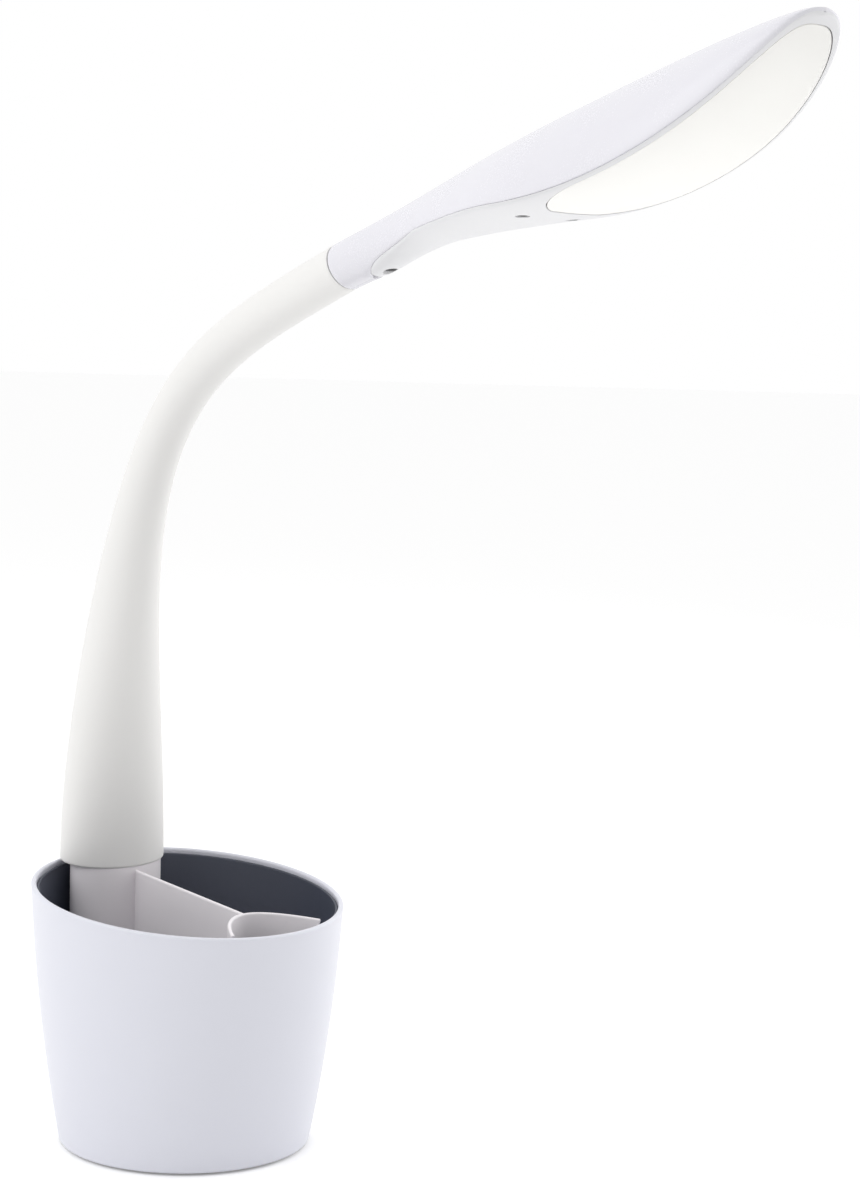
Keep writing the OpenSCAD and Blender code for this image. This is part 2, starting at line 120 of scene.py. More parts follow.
# How far each head screw's face lies above its place
HEAD_SCREW_FACES = [-1.2 * MM, 0.9 * MM, 0.9 * MM]
HEAD_SCREW_H = 1.7 * MM
HEAD_RECESS_R = 3.05 * MM
HEAD_BOSS_R = 4.6 * MM
LENS_GAP = 0.45 * MM
LENS_INSET = 0.35 * MM
LED_BOARD_START = Vector((0, -226, 434)) * MM
LED_BOARD_SLOPE = math.radians(24.5)
LED_SCREWS = [Vector(spot) * MM for spot in ((-10, -22, 0), (10, -22, 0), (0, -74, 0))]

WELD = 0.004 * MM


# ---- Curves ----
def mix(a, b, t):
    return a + (b - a) * t


def smooth(t):
    t = min(max(t, 0), 1)
    return t * t * (3 - 2 * t)


def bezier(points, t):
    while len(points) > 1:
        points = [mix(a, b, t) for a, b in zip(points, points[1:])]
    return points[0]


def steps(start, end, count):
    return [mix(start, end, i / count) for i in range(count + 1)]


# ---- Meshes ----
def tidy_mesh(bm):
    """Merges doubles and turns the faces of a closed mesh outwards."""
    bmesh.ops.remove_doubles(bm, verts=bm.verts, dist=WELD)
    bmesh.ops.dissolve_degenerate(bm, edges=bm.edges, dist=WELD / 2)
    bmesh.ops.recalc_face_normals(bm, faces=bm.faces)
    if bm.calc_volume(signed=True) < 0:
        bmesh.ops.reverse_faces(bm, faces=bm.faces)


def piece(name, rows, ring_rows=False, capped=False):
    """A mesh through rows of points. ring_rows joins each row's ends, and capped closes the first and
    last row."""
    mesh = bpy.data.meshes.new(name)
    bm = bmesh.new()
    grid = [[bm.verts.new(p) for p in row] for row in rows]
    width = len(rows[0])
    for low, high in zip(grid, grid[1:]):
        for i in range(width if ring_rows else width - 1):
            j = (i + 1) % width
            bm.faces.new((low[i], low[j], high[j], high[i]))
    if capped:
        bm.faces.new(grid[0])
        bm.faces.new(grid[-1])
    tidy_mesh(bm)
    bm.to_mesh(mesh)
    bm.free()
    obj = bpy.data.objects.new(name, mesh)
    bpy.context.collection.objects.link(obj)
    return obj


def soften(obj, angle=35):
    """Smooth shading, with the edges sharper than angle left crisp."""
    bm = bmesh.new()
    bm.from_mesh(obj.data)
    for face in bm.faces:
        face.smooth = True
    for edge in bm.edges:
        edge.smooth = len(edge.link_faces) == 2 and edge.calc_face_angle() < math.radians(angle)
    bm.to_mesh(obj.data)
    bm.free()


def settle(obj):
    """Turns the object's modifiers into plain mesh."""
    mesh = bpy.data.meshes.new_from_object(obj.evaluated_get(bpy.context.evaluated_depsgraph_get()))
    obj.modifiers.clear()
    obj.data = mesh


def carve(obj, tool, operation="DIFFERENCE"):
    """Joins or cuts obj with a closed tool, which is then deleted."""
    cut = obj.modifiers.new("cut", "BOOLEAN")
    cut.operation = operation
    cut.solver = "EXACT"
    cut.object = tool
    settle(obj)
    bpy.data.objects.remove(tool)


def join(obj, others):
    """Adds the meshes of others to obj."""
    bm = bmesh.new()
    for part in [obj] + others:
        bm.from_mesh(part.data)
    bm.to_mesh(obj.data)
    bm.free()
    for part in others:
        bpy.data.objects.remove(part)


def turned(name, profile_at, sides=160, closed=True):
    """Wall of revolution whose profile, a list of (radius, z), may differ round the axis."""
    rows = []
    for i in range(sides):
        turn = 2 * math.pi * i / sides
        rows.append([Vector((r * math.cos(turn), r * math.sin(turn), z)) for r, z in profile_at(turn)])
    if closed:
        rows = [row + row[:1] for row in rows]
    return piece(name, rows + rows[:1])


def lathed(name, profile, sides=32):
    """Solid turned from a profile in millimetres, from the axis round to the axis again."""
    return turned(name, lambda turn: [(r * MM, z * MM) for r, z in profile], sides, closed=False)


def round_bar(name, start, end, radius, sides=32):
    """A closed cylinder from start to end."""
    along = (end - start).normalized()
    across = along.orthogonal().normalized()
    other = along.cross(across)
    turn = [2 * math.pi * i / sides for i in range(sides)]
    ring = [across * math.cos(a) * radius + other * math.sin(a) * radius for a in turn]
    return piece(name, [[start + p for p in ring], [end + p for p in ring]], ring_rows=True, capped=True)


def block(name, low, high):
    """A box between two corners, as a tool for carving."""
    corners = [(low.x, low.y), (high.x, low.y), (high.x, high.y), (low.x, high.y)]
    return piece(name, [[Vector((x, y, z)) for x, y in corners] for z in (low.z, high.z)],
                 ring_rows=True, capped=True)


# ---- Node trees ----
def add(tree, kind, inputs=None, **settings):
    """Adds a node. An input is a value or the socket that feeds it."""
    node = tree.nodes.new(kind)
    for key, value in settings.items():
        setattr(node, key, value)
    for key, value in (inputs or {}).items():
        if isinstance(value, bpy.types.NodeSocket):
            tree.links.new(value, node.inputs[key])
        else:
            node.inputs[key].default_value = value
    return node


def geometry_tree(name, sizes):
    """A geometry node tree with a named input for each size, and its group inputs."""
    tree = bpy.data.node_groups.new(name, "GeometryNodeTree")
    tree.interface.new_socket("Geometry", in_out="OUTPUT", socket_type="NodeSocketGeometry")
    tree.interface.new_socket("Places", in_out="INPUT", socket_type="NodeSocketGeometry")
    for label, kind in sizes.items():
        tree.interface.new_socket(label, in_out="INPUT", socket_type="NodeSocket" + kind)
    return tree, add(tree, "NodeGroupInput").outputs


def grown(name, tree, sizes, places=()):
    """An object made by a geometry node tree from named sizes, round the points in places."""
    mesh = bpy.data.meshes.new(name)
    mesh.from_pydata(places, [], [])
    obj = bpy.data.objects.new(name, mesh)
    bpy.context.collection.objects.link(obj)
    maker = obj.modifiers.new("maker", "NODES")
    maker.node_group = tree
    for socket in tree.interface.items_tree:
        if socket.in_out == "INPUT" and socket.name in sizes:
            maker[socket.identifier] = sizes[socket.name]
    settle(obj)
    return obj


def end_tree(tree, geometry, finish_socket):
    """Real geometry in its finish, as the last two steps of a tree."""
    real = add(tree, "GeometryNodeRealizeInstances", {"Geometry": geometry})
    coated = add(tree, "GeometryNodeSetMaterial", {"Geometry": real.outputs[0], "Material": finish_socket})
    add(tree, "NodeGroupOutput", {"Geometry": coated.outputs[0]})


# ---- Materials ----
def srgb(code):
    """Linear colour from a hex sRGB code."""
    def linear(v):
        return v / 12.92 if v <= 0.04045 else ((v + 0.055) / 1.055) ** 2.4
    return [linear(int(code[i:i + 2], 16) / 255) for i in (1, 3, 5)] + [1]


def finish(name, colour, shade, roughness, grain, grain_depth, ior=1.53, metallic=0.0, mottle=90 * MM,
           stretch=(1, 1, 1), **extra):
    """One moulded, plated or cast finish. The colour drifts towards shade over patches of the mottle's
    size, and grain gives the surface its texture. stretch draws the grain out along an axis. The index
    of refraction is that of ABS unless another is given."""
    material = bpy.data.materials.new(name)
    material.use_nodes = True
    tree = material.node_tree
    tree.nodes.clear()
    place = add(tree, "ShaderNodeTexCoord").outputs["Object"]
    drawn = add(tree, "ShaderNodeMapping", {"Vector": place, "Scale": stretch}).outputs[0]
    patches = add(tree, "ShaderNodeTexNoise", {"Vector": place, "Scale": 1 / mottle, "Detail": 3.0})
    fine = add(tree, "ShaderNodeTexNoise", {"Vector": drawn, "Scale": 1 / grain, "Detail": 2.0})
    handled = add(tree, "ShaderNodeTexNoise", {"Vector": place, "Scale": 1 / (23 * MM), "Detail": 4.0})
    tint = add(tree, "ShaderNodeMix", {0: patches.outputs["Fac"], 6: srgb(colour), 7: srgb(shade)},
               data_type="RGBA")
    grit = add(tree, "ShaderNodeMapRange", {
        "Value": fine.outputs["Fac"], "To Min": max(roughness - 0.03, 0.02), "To Max": roughness + 0.03})
    gloss = add(tree, "ShaderNodeMath", {
        0: handled.outputs["Fac"], 1: 0.05, 2: grit.outputs["Result"]}, operation="MULTIPLY_ADD")
    bump = add(tree, "ShaderNodeBump", {
        "Height": fine.outputs["Fac"], "Distance": grain_depth, "Strength": 0.6})
    shader = add(tree, "ShaderNodeBsdfPrincipled", {
        "Base Color": tint.outputs[2], "Roughness": gloss.outputs[0], "Normal": bump.outputs["Normal"],
        "Metallic": metallic, **({} if metallic else {"IOR": ior}), **extra})
    add(tree, "ShaderNodeOutputMaterial", {"Surface": shader.outputs["BSDF"]})
    return material


# Satin ABS, moulded in a finely blasted tool: a cool white with broad soft highlights
cup_white = finish("satin_abs_cool_white", "#e7e8f1", "#e3e4ed", 0.32, 0.6 * MM, 0.004 * MM)
# Fine-textured ABS, slate grey: dark, dull, with a spark-eroded grain. Its dark tone is partly painted
# shade for the cup's deep compartments
liner_slate_painted_shade = finish("textured_abs_slate_painted_shade", "#434856", "#3b404d", 0.46, 0.9 * MM, 0.02 * MM)
# Satin ABS, white: slightly warmer than the cup, as a second moulding is
insert_white = finish("satin_abs_white", "#f8f4f7", "#f5f0f4", 0.36, 0.6 * MM, 0.005 * MM)
# Soft-touch silicone rubber: a matt warm white whose edges catch a faint sheen
neck_rubber = finish(
    "soft_touch_silicone_white", "#f3f2f0", "#efeeec", 0.5, 0.8 * MM, 0.012 * MM, ior=1.43,
    **{"Sheen Weight": 0.08, "Sheen Roughness": 0.5})
# Gloss ABS from a polished tool: near-white with a violet cast, smooth, with soft reflections
head_gloss = finish("gloss_abs_violet_white", "#eae9ef", "#e6e5eb", 0.24, 0.6 * MM, 0.002 * MM)
# Satin ABS: the head's underside, plainer than its top
cover_white = finish("satin_abs_cover_white", "#ebebed", "#e7e7e9", 0.34, 0.6 * MM, 0.006 * MM)
# Opal polycarbonate, frosted on its inner face: milky, with light that spreads inside it
diffuser_opal = finish(
    "frosted_opal_polycarbonate", "#f3f3f0", "#efefec", 0.4, 1.2 * MM, 0.01 * MM, ior=1.58, **{
        "Subsurface Weight": 0.25, "Subsurface Scale": 4 * MM, "Subsurface Radius": (1, 1, 1),
        "Emission Color": srgb("#fffaf2"), "Emission Strength": 0.14})
# Nitrile rubber, charcoal: dull and slightly chalky
mat_rubber = finish("nitrile_rubber_charcoal", "#4a4b4e", "#424346", 0.75, 1.2 * MM, 0.03 * MM, ior=1.52)
# Fine-textured ABS, off-white: the closing plate
plate_white = finish("textured_abs_white", "#e2e2e5", "#dcdcdf", 0.48, 0.9 * MM, 0.02 * MM)
# Zinc-plated steel: bluish grey metal with a slightly cloudy passivation
zinc_steel = finish(
    "zinc_plated_steel", "#b4b7bc", "#a3a6ab", 0.32, 0.5 * MM, 0.004 * MM, metallic=1.0, mottle=4 * MM)
# Black oxide on steel: the head's screws, a dull dark crust. They are near-black partly as painted shade,
# so that their recesses read dark
black_steel_painted_shade = finish(
    "blackened_steel_painted_shade", "#1b1c1e", "#131415", 0.5, 0.5 * MM, 0.006 * MM, ior=1.8, mottle=3 * MM)
# Cold-rolled steel, oiled: the weight, with a dull mill finish drawn along the strip
weight_steel = finish(
    "cold_rolled_steel", "#8f9296", "#7c7f83", 0.42, 0.7 * MM, 0.01 * MM, metallic=1.0, mottle=12 * MM,
    stretch=(1, 0.08, 1))
# Stainless strip, wound to a tube: bright, with fine draw marks round it
tube_steel = finish(
    "wound_stainless_strip", "#c3c5c8", "#b2b4b7", 0.26, 0.4 * MM, 0.004 * MM, metallic=1.0,
    mottle=6 * MM, stretch=(0.1, 0.1, 1))
# Die-cast zinc, tumbled: soft grey metal
cast_zinc = finish(
    "die_cast_zinc", "#a9abae", "#9a9c9f", 0.45, 1.0 * MM, 0.02 * MM, metallic=1.0, mottle=8 * MM)
# Turned aluminium: pale metal with fine lathe marks
turned_aluminium = finish(
    "turned_aluminium", "#c9cbce", "#bcbec1", 0.3, 0.4 * MM, 0.005 * MM, metallic=1.0, mottle=6 * MM,
    stretch=(0.1, 1, 0.1))
# PVC insulation, white: smooth and slightly waxy
lead_pvc = finish(
    "pvc_insulation_white", "#e3e3e1", "#dadad8", 0.35, 0.9 * MM, 0.006 * MM, mottle=20 * MM)
# Glass-filled nylon, black: the socket's housing, with short fibres near the surface
socket_nylon = finish(
    "glass_filled_nylon_black", "#1f2023", "#191a1c", 0.45, 0.7 * MM, 0.012 * MM, mottle=9 * MM,
    stretch=(1, 0.3, 1))
# Nickel-plated brass: the socket's pin, warm and bright
pin_nickel = finish(
    "nickel_plated_brass", "#c6c2b6", "#b8b3a5", 0.22, 0.3 * MM, 0.002 * MM, metallic=1.0, mottle=2 * MM)
# Green solder mask over glass-epoxy: glossy lacquer on a woven board
board_green = finish(
    "solder_mask_green", "#1f6b3f", "#1a5d36", 0.22, 1.1 * MM, 0.01 * MM, ior=1.5, mottle=6 * MM)
# White solder mask over aluminium: bright, to send the light down
board_white = finish(
    "solder_mask_white", "#f0f0ee", "#eaeae8", 0.25, 1.1 * MM, 0.008 * MM, ior=1.5, mottle=14 * MM)
# Black epoxy and nylon of the small board parts
parts_black = finish(
    "moulded_epoxy_black", "#26272a", "#1f2022", 0.4, 0.6 * MM, 0.01 * MM, ior=1.55, mottle=5 * MM)
# Yellow phosphor in clear silicone: the domed face of each chip
chip_phosphor = finish(
    "phosphor_silicone_yellow", "#f4e08a", "#efd877", 0.28, 0.5 * MM, 0.006 * MM, ior=1.41,
    mottle=2 * MM)
# Satin ABS, pale grey: the button
button_grey = finish(
    "satin_abs_pale_grey", "#d7d8dc", "#d1d2d6", 0.32, 0.6 * MM, 0.006 * MM, mottle=20 * MM)


def dress(obj, material):
    """Gives obj one finish in place of its materials."""
    obj.data.materials.clear()
    obj.data.materials.append(material)


# ---- Cup ----
SIDE_CHORD = Vector((RIM_R - FOOT_R, RIM_Z))
SIDE_OUT = Vector((SIDE_CHORD.y, -SIDE_CHORD.x)).normalized()
SIDE_CENTRE = Vector((FOOT_R, 0)) + SIDE_CHORD / 2 - SIDE_OUT * math.sqrt(
    SIDE_ARC_R ** 2 - (SIDE_CHORD.length / 2) ** 2)
LINER_INSET = CUP_WALL + SLIP + LINER_WALL
TOP_GAP = 0.6 * MM


def cup_r(z):
    """The cup's outer radius at height z: a long arc, bulged slightly outwards."""
    return SIDE_CENTRE.x + math.sqrt(SIDE_ARC_R ** 2 - (z - SIDE_CENTRE.y) ** 2)


def rim_height(y):
    return RIM_Z + y * RIM_FALL


def rounded_top(mid_inset, half_wall, drop, turn):
    """Profile points over a wall's rounded top edge, from its outer to its inner face. drop is how far
    the edge's middle lies under the rim's plane, and turn the direction round the cup."""
    z = RIM_Z
    for _ in range(4):
        z = rim_height((cup_r(z) - mid_inset) * math.sin(turn)) - drop
    middle = cup_r(z) - mid_inset
    return [(middle + half_wall * math.cos(a), z + half_wall * math.sin(a)) for a in steps(0, math.pi, 12)]


def cup_profile(turn):
    """The wall's profile: rounded foot, outside, beaded rim and inside."""
    top = rounded_top(CUP_WALL / 2, CUP_WALL / 2 + RIM_BEAD, CUP_WALL / 2, turn)
    foot_z = MAT_H + CUP_FOOT_ROUND
    foot = [(cup_r(foot_z) - CUP_FOOT_ROUND * (1 - math.cos(a)), foot_z + CUP_FOOT_ROUND * math.sin(a))
            for a in steps(-math.pi / 2, 0, 6)]
    outside = [(cup_r(z), z) for z in steps(foot_z + 1.5 * MM, top[0][1] - TOP_GAP, 26)]
    inside = [(cup_r(z) - CUP_WALL, z) for z in steps(top[-1][1] - TOP_GAP, MAT_H, 14)]
    return foot + outside + top + inside


SOCKET_LOW, SOCKET_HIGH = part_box("dc_jack")
BUTTON_LOW, BUTTON_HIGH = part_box("power_button")
SOCKET_AT = Vector((
    (SOCKET_LOW[0] + SOCKET_HIGH[0]) / 2, SOCKET_HIGH[1], SOCKET_HIGH[2] - SOCKET_AXIS_DROP))
BUTTON_AT = Vector((
    (BUTTON_LOW[0] + BUTTON_HIGH[0]) / 2, BUTTON_HIGH[1], (BUTTON_LOW[2] + BUTTON_HIGH[2]) / 2))


def build_cup():
    """The outer wall, with the holes for the socket and the button."""
    cup = turned("cup_wall", cup_profile)
    for spot, radius in ((SOCKET_AT, SOCKET_HOLE_R), (BUTTON_AT, BUTTON_HOLE_R)):
        inside = Vector((spot.x, 40 * MM, spot.z))
        carve(cup, round_bar("hole", inside, inside + Vector((0, 40, 0)) * MM, radius, 48))
    soften(cup)
    dress(cup, cup_white)
    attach(cup, "base")
    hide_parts("cup_shell")


def liner_profile(turn):
    """The tray's profile: underside, outside, rounded top, inside, floor fillet and floor."""
    fillet = 4 * MM
    top = rounded_top(LINER_INSET - LINER_WALL / 2, LINER_WALL / 2, LINER_DROP, turn)
    under = FLOOR_Z - TRAY_FLOOR
    outside = [(cup_r(z) - CUP_WALL - SLIP, z) for z in steps(under, top[0][1] - TOP_GAP, 12)]
    inside = [(cup_r(z) - LINER_INSET, z) for z in steps(top[-1][1] - TOP_GAP, FLOOR_Z + fillet, 16)]
    corner = cup_r(FLOOR_Z + fillet) - LINER_INSET - fillet
    bend = [(corner + fillet * math.cos(a), FLOOR_Z + fillet - fillet * math.sin(a))
            for a in steps(0.15, math.pi / 2, 8)]
    floor = [(corner / 2, FLOOR_Z), (0, FLOOR_Z)]
    return [(0, under), (50 * MM, under)] + outside + top + inside + bend + floor


def build_liner():
    liner = turned("compartment_tray", liner_profile, closed=False)
    soften(liner)
    # The tray's slate colour is partly painted shade for the compartments' depths
    dress(liner, liner_slate_painted_shade)
    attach(liner, "base")
    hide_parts("compartment_liner")


def upright(low_a, low_b, high_a, high_b):
    """Points up one face of a thin wall, over its rounded top and down the other face."""
    across = (high_b - high_a) / 2
    middle = (high_a + high_b) / 2
    lift = Vector((0, 0, across.length))
    top = [middle - across * math.cos(a) + lift * math.sin(a) for a in steps(0, math.pi, 8)]
    levels = steps(0, 1, 8)[:-1]
    down = [mix(high_b, low_b, s) for s in levels[1:] + [1]]
    return [mix(low_a, high_a, s) for s in levels] + top + down


def wall_reach(radius):
    """How far from the middle the curved wall meets a circle of that radius."""
    slope = 1 + 2 * POCKET_APEX / POCKET_CURVE
    squared = math.sqrt(slope ** 2 + 4 * (radius ** 2 - POCKET_APEX ** 2) / POCKET_CURVE ** 2) - slope
    return math.sqrt(squared * POCKET_CURVE ** 2 / 2)


def pocket_wall_row(side):
    """One upright row of the curved wall. side runs from -1 to 1, from liner to liner."""
    def wall_points(z_share):
        x, y = 0, -POCKET_APEX
        for _ in range(4):
            z = mix(FLOOR_Z, rim_height(y) - DIVIDER_DROP, z_share)
            x = side * wall_reach(cup_r(z) - LINER_INSET - SLIP - DIVIDER_WALL)
            y = -POCKET_APEX - x * x / POCKET_CURVE
        lean = Vector((2 * x / POCKET_CURVE, 1, 0)).normalized()
        back = Vector((x, y, z))
        return back, back - lean * DIVIDER_WALL
    low_back, low_front = wall_points(0)
    high_back, high_front = wall_points(1)
    return upright(low_back, low_front, high_back, high_front)


def build_divider():
    """The curved wall that closes the front pocket, and the plate from it back to the post."""
    curved_rows = [pocket_wall_row(s) for s in steps(-1, 1, 48)]
    curved = piece("divider_moulding", curved_rows, ring_rows=True, capped=True)
    half = Vector((DIVIDER_WALL / 2, 0, 0))
    rows = []
    for y in steps(-POCKET_APEX - 0.4 * MM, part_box("neck_post")[0][1], 12):
        low, high = Vector((0, y, FLOOR_Z)), Vector((0, y, rim_height(y) - DIVIDER_DROP))
        rows.append(upright(low - half, low + half, high - half, high + half))
    join(curved, [piece("divider_plate", rows, ring_rows=True, capped=True)])
    soften(curved)
    dress(curved, insert_white)
    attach(curved, "base")
    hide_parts("divider_insert")


def build_post():
    """The hollow post under the neck: an oval that the cup's wall cuts off at the back."""
    def outline(inset, z, count=96):
        points = []
        for i in range(count):
            turn = 2 * math.pi * i / count
            across, along = (POST_HALF_X - inset) * math.cos(turn), (POST_HALF_Y - inset) * math.sin(turn)
            spot = Vector((across, POST_Y + along, 0))
            reach = cup_r(z) - LINER_INSET - SLIP - inset
            spot *= min(1, reach / spot.length)
            points.append(Vector((spot.x, spot.y, z)))
        return points
    def cap(inset, drop):
        """The outline at the top, which lies parallel to the cup's rim."""
        top = outline(inset, rim_height(POST_Y))
        return [Vector((spot.x, spot.y, rim_height(spot.y) + FOOT_LIFT - drop)) for spot in top]
    levels = steps(FLOOR_Z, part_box("neck_post")[1][2] - POST_ROOF, 10)
    rows = [outline(0, z) for z in levels] + [cap(0, POST_CHAMFER), cap(POST_CHAMFER, 0)]
    post = piece("post_moulding", rows, ring_rows=True, capped=True)
    inner_levels = steps(FLOOR_Z - MM, NECK_FOOT.y - POST_ROOF, 6)
    inner_rows = [outline(POST_WALL, z) for z in inner_levels]
    carve(post, piece("hollow", inner_rows, ring_rows=True, capped=True))
    soften(post)
    dress(post, insert_white)
    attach(post, "base")
    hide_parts("neck_post")


# ---- What repeats: screws, chips and the mat's studs ----
def set_out_tree():
    """Puts one part at every point of the object's own mesh."""
    tree, size = geometry_tree("set_out", {"Part": "Object", "Finish": "Material"})
    part = add(tree, "GeometryNodeObjectInfo", {"Object": size["Part"]})
    spread = add(tree, "GeometryNodeInstanceOnPoints", {
        "Points": size["Places"], "Instance": part.outputs["Geometry"]})
    end_tree(tree, spread.outputs[0], size["Finish"])
    return tree


def stud_tree():
    """Studs on a sunflower spiral: each next one turns by the golden angle and lies further out."""
    tree, size = geometry_tree("stud_spiral", {
        "Count": "Int", "Spacing": "Float", "Part": "Object", "Finish": "Material"})
    line = add(tree, "GeometryNodeMeshLine", {"Count": size["Count"]})
    number = add(tree, "GeometryNodeInputIndex").outputs[0]
    golden = math.pi * (3 - math.sqrt(5))
    turn = add(tree, "ShaderNodeMath", {0: number, 1: golden}, operation="MULTIPLY").outputs[0]
    root = add(tree, "ShaderNodeMath", {0: number, 1: 0.5}, operation="POWER").outputs[0]
    reach = add(tree, "ShaderNodeMath", {0: root, 1: size["Spacing"]}, operation="MULTIPLY").outputs[0]
    across = add(tree, "ShaderNodeMath", {0: turn}, operation="COSINE").outputs[0]
    along = add(tree, "ShaderNodeMath", {0: turn}, operation="SINE").outputs[0]
    direction = add(tree, "ShaderNodeCombineXYZ", {0: across, 1: along}).outputs[0]
    spot = add(tree, "ShaderNodeVectorMath", {0: direction, "Scale": reach}, operation="SCALE").outputs[0]
    spiral = add(tree, "GeometryNodeSetPosition", {"Geometry": line.outputs[0], "Position": spot})
    part = add(tree, "GeometryNodeObjectInfo", {"Object": size["Part"]})
    studs = add(tree, "GeometryNodeInstanceOnPoints", {
        "Points": spiral.outputs[0], "Instance": part.outputs["Geometry"]})
    end_tree(tree, studs.outputs[0], size["Finish"])
    return tree


def chip_tree():
    """Columns and rows of chips on a sloping board."""
    tree, size = geometry_tree("chip_rows", {
        "Columns": "Int", "Rows": "Int", "Width": "Float", "Length": "Float", "Place": "Vector",
        "Turn": "Rotation", "Part": "Object", "Finish": "Material"})
    grid = add(tree, "GeometryNodeMeshGrid", {
        "Size X": size["Width"], "Size Y": size["Length"],
        "Vertices X": size["Columns"], "Vertices Y": size["Rows"]})
    part = add(tree, "GeometryNodeObjectInfo", {"Object": size["Part"]})
    chips = add(tree, "GeometryNodeInstanceOnPoints", {
        "Points": grid.outputs[0], "Instance": part.outputs["Geometry"]})
    laid = add(tree, "GeometryNodeTransform", {
        "Geometry": chips.outputs[0], "Translation": size["Place"], "Rotation": size["Turn"]})
    end_tree(tree, laid.outputs[0], size["Finish"])
    return tree


set_out = set_out_tree()
stud_spiral = stud_tree()
chip_rows = chip_tree()


def screw(head_r, head_h, shank_r, shank_l):
    """A pan-head screw in millimetres with a cross recess. Its head's face looks down at z = 0."""
    crown = [(0, 0), (head_r * 0.55, 0.02), (head_r * 0.85, head_h * 0.22), (head_r, head_h * 0.6),
             (head_r, head_h)]
    pitch, core_r = 0.8, shank_r * 0.82
    thread = []
    for k in range(int(shank_l / pitch)):
        z = head_h + pitch * k
        thread += [(core_r, z + 0.05), (shank_r, z + pitch / 2), (core_r, z + 0.75)]
    end = head_h + shank_l
    part = lathed("screw", crown + thread + [(shank_r * 0.4, end), (0, end)], 24)
    arm, width, depth = head_r * 0.6 * MM, 0.28 * MM, head_h * 0.6 * MM
    for x, y in ((arm, width), (width, arm)):
        carve(part, block("cross", Vector((-x, -y, -MM)), Vector((x, y, depth))))
    soften(part)
    return part


def place_screws(name, node, body, part, places, material, tilt=0.0):
    """One set of screws, which stands for the CAD's."""
    part.data.transform(Matrix.Rotation(tilt, 4, "X"))
    screws = grown(name, set_out, {"Part": part, "Finish": material}, places)
    bpy.data.objects.remove(part)
    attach(screws, body)
    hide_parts(node)


def build_screws():
    """Four sets. The heads face down, except those on the control board."""
    led_head_h, board_head_h = 1.2, 1.3
    corners = [math.radians(a) for a in (45, 135, 225, 315)]
    base = [Vector((BOSS_RING * math.cos(a), BOSS_RING * math.sin(a), MAT_H + 0.1 * MM)) for a in corners]
    place_screws("base_screw_set", "base_screws", "base", screw(2.8, 1.3, 1.15, 11.9), base, zinc_steel)
    head = [spot + Vector((0, 0, face)) for spot, face in zip(HEAD_SCREWS, HEAD_SCREW_FACES)]
    # The head's screws are near-black partly as painted shade for their deep recesses
    place_screws("head_screw_set", "head_screws", "head", screw(2.8, HEAD_SCREW_H / MM, 1.25, 9.4),
                 head, black_steel_painted_shade)
    slope = Matrix.Rotation(-LED_BOARD_SLOPE, 4, "X")
    led = [LED_BOARD_START + slope @ (spot - Vector((0, 0, led_head_h)) * MM) for spot in LED_SCREWS]
    place_screws("led_screw_set", "led_screws", "head", screw(2.2, led_head_h, 1.15, 6.9),
                 led, zinc_steel, -LED_BOARD_SLOPE)
    board = [Vector((spot.x, spot.y, BOARD_TOP + board_head_h * MM)) for spot in BOARD_HOLES]
    place_screws("board_screw_set", "board_screws", "base", screw(2.2, board_head_h, 1.15, 5.0),
                 board, zinc_steel, math.pi)


def build_chips():
    """Sixteen chips: a white package with a shallow well, and a phosphor dome in the well."""
    column_gap, row_gap, rows = 12 * MM, 11 * MM, 8
    slope = Matrix.Rotation(-LED_BOARD_SLOPE, 4, "X")
    middle = LED_BOARD_START + slope @ Vector((0, -12 * MM - row_gap * (rows - 1) / 2, 0))
    layout = {"Columns": 2, "Rows": rows, "Width": column_gap, "Length": row_gap * (rows - 1),
              "Place": middle, "Turn": (-LED_BOARD_SLOPE, 0, 0)}
    package = block("package", Vector((-1.4, -1.75, -0.8)) * MM, Vector((1.4, 1.75, 0)) * MM)
    bevel = package.modifiers.new("bevel", "BEVEL")
    bevel.width = 0.15 * MM
    settle(package)
    carve(package, round_bar("well", Vector((0, 0, -1)) * MM, Vector((0, 0, -0.45)) * MM, 1.15 * MM, 24))
    chips = grown("led_packages", chip_rows, {**layout, "Part": package, "Finish": board_white})
    dome = lathed("dome", [(0, -0.78), (0.6, -0.74), (1.0, -0.6), (1.12, -0.45), (0, -0.4)], 16)
    soften(dome)
    faces = grown("led_domes", chip_rows, {**layout, "Part": dome, "Finish": chip_phosphor})
    for part in (package, dome):
        bpy.data.objects.remove(part)
    for obj in (chips, faces):
        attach(obj, "head")
    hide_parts("leds")


def build_mat():
    """Disc with a rounded edge. Its low studs reach the desk."""
    stud_h, edge_round, half_h = 0.35, 0.4, 0.42
    radius, top = MAT_R / MM, MAT_H / MM
    edge = [(radius - edge_round + edge_round * math.cos(a), (stud_h + top) / 2 + half_h * math.sin(a))
            for a in steps(-math.pi / 2, math.pi / 2, 6)]
    mat = lathed("foot_mat", [(0, stud_h)] + edge + [(0, top)], 128)
    stud = lathed("stud", [(0, 0), (0.9, 0), (1.15, 0.12), (1.3, stud_h + 0.1), (0, stud_h + 0.1)], 12)
    studs = grown("mat_studs", stud_spiral, {
        "Count": 330, "Spacing": 2.9 * MM, "Part": stud, "Finish": mat_rubber})
    bpy.data.objects.remove(stud)
    for obj in (mat, studs):
        soften(obj)
        dress(obj, mat_rubber)
        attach(obj, "base")
    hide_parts("base_mat")


